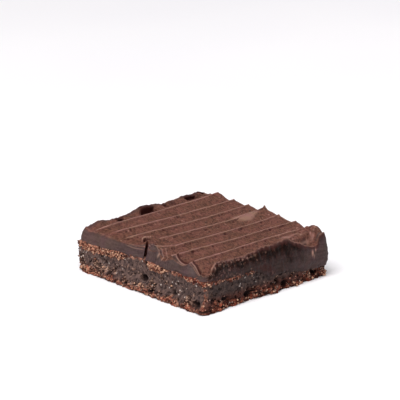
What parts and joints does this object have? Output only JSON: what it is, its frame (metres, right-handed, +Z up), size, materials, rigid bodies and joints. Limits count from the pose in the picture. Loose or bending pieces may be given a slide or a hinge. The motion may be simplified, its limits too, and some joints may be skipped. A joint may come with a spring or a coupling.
{
  "type": "brownie",
  "caption": "Cut rectangle of chocolate brownie: dense crumb between a top and a bottom crust, under thick icing combed into long ridges, with a crack in one side.",
  "frame": {"origin": "middle of the flat base of the cut rectangle, on the surface it rests on", "axes": "+Z up, +X along the combed ridges, +Y across them and along the longer side"},
  "size_m": [0.0772, 0.0856, 0.0234],
  "materials": {
    "cake": "matt dark chocolate crumb with a paler baked crust along its top and bottom edges",
    "icing": "soft satin chocolate fudge icing, drawn out by a comb"
  },
  "bodies": {
    "root": {"cake": "cake", "icing": "icing"}
  },
  "joints": []
}
